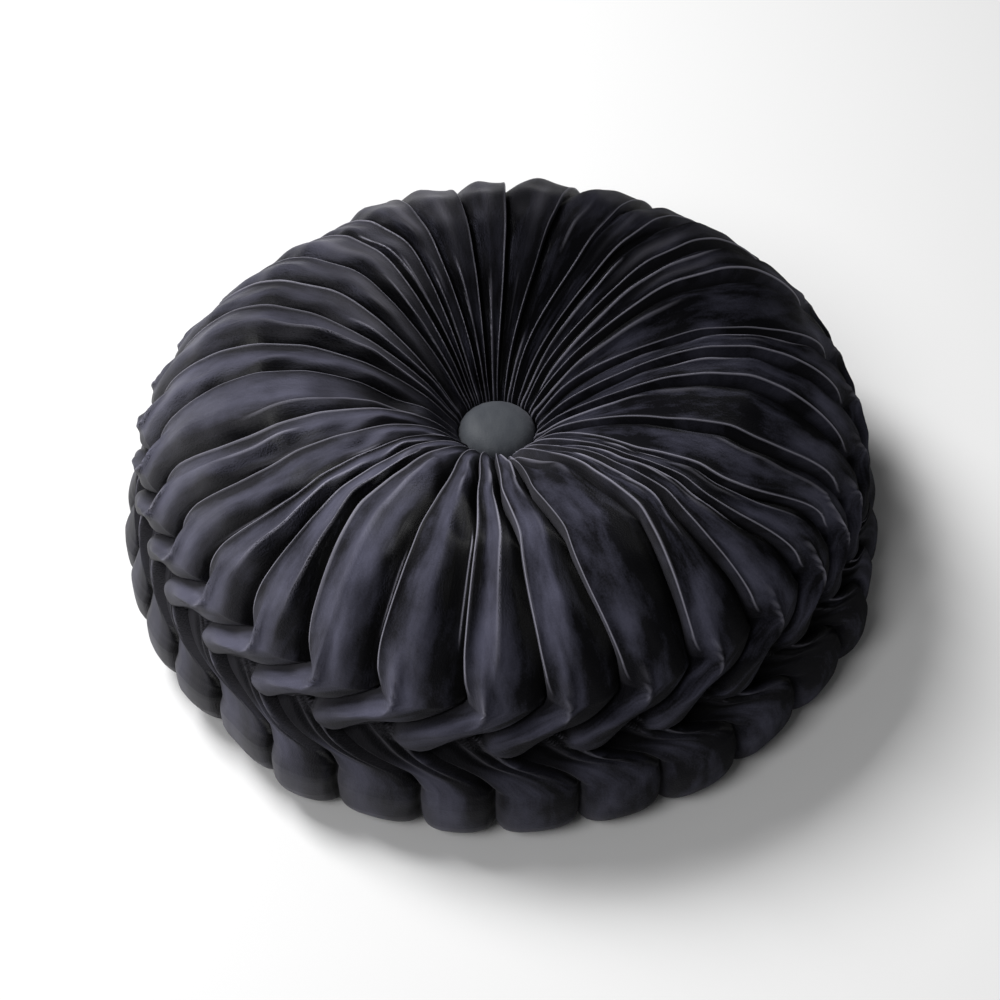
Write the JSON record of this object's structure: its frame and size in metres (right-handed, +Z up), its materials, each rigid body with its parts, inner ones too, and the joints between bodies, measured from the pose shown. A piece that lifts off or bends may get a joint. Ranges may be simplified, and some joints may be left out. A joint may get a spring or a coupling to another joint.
{
  "type": "round pleated cushion",
  "caption": "Round filled velvet cushion with radial pleats drawn to a covered button, a smocked plait round the side and a flat base.",
  "frame": {"origin": "centre of the bounding box at its bottom, on the flat base", "axes": "+Z up through the button, the base at z = 0; -Y is the side that faces the viewer"},
  "size_m": [0.3804, 0.3816, 0.1358],
  "materials": {
    "cover_velvet": "short cut-pile velvet, black, matt with a pale bloom on the edges of the pleats",
    "button_velvet": "the same short cut-pile velvet, black, stretched over the button and a little greyer"
  },
  "bodies": {
    "root": {"cushion": "cover_velvet", "button": "button_velvet"}
  },
  "joints": []
}
